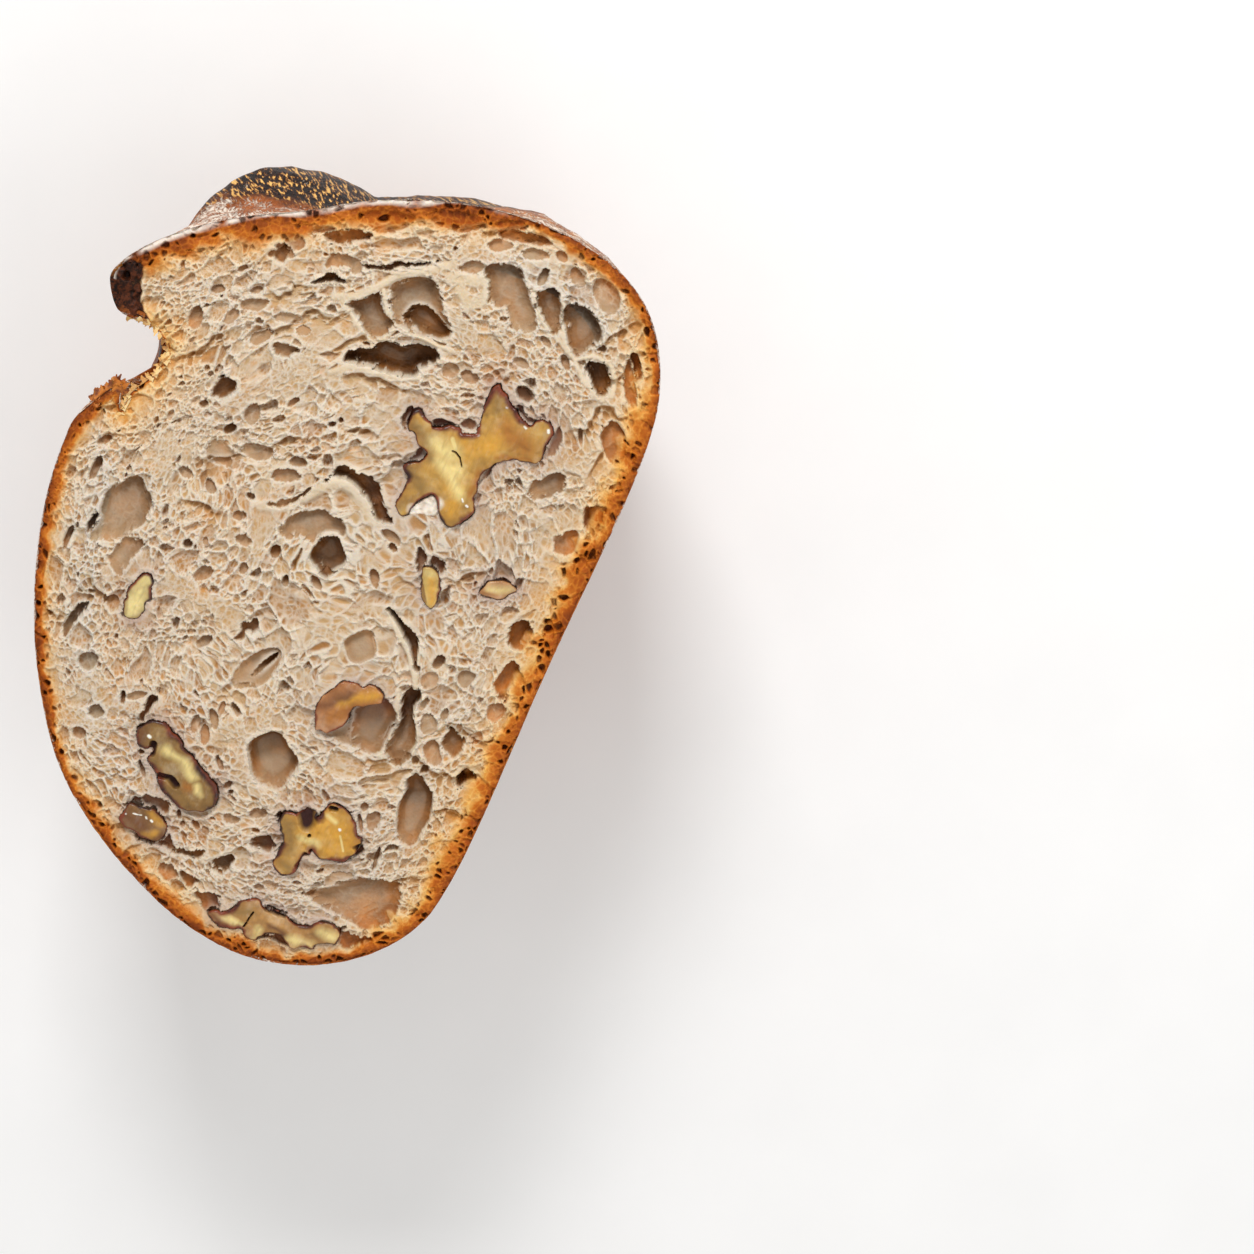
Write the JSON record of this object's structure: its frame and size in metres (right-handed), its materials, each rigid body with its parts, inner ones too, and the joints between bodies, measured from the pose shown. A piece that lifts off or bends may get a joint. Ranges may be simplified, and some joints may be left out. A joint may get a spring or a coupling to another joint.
{
  "type": "half walnut loaf",
  "caption": "Half of a round crusty walnut loaf, cut face up, with a lifted score, open crumb and walnut pieces in the cut.",
  "frame": {"origin": "middle of the bounding box's underside, on the flat spot that the crust rests on", "axes": "+Z out of the cut face, +X along the loaf's width, -Y out of the loaf's flat baked base"},
  "size_m": [0.1641, 0.1109, 0.084],
  "materials": {
    "bread": "matt open crumb, pale beige, inside a floured orange-brown crust",
    "walnut": "satin yellow flesh with dark brown skin"
  },
  "bodies": {
    "root": {"loaf": "bread", "nut_cross": "walnut", "nut_crook": "walnut", "nut_twin": "walnut", "nut_rim": "walnut", "nut_amber": "walnut", "nut_tan": "walnut", "nut_pale": "walnut", "nut_sliver": "walnut", "nut_flake": "walnut"}
  },
  "joints": []
}
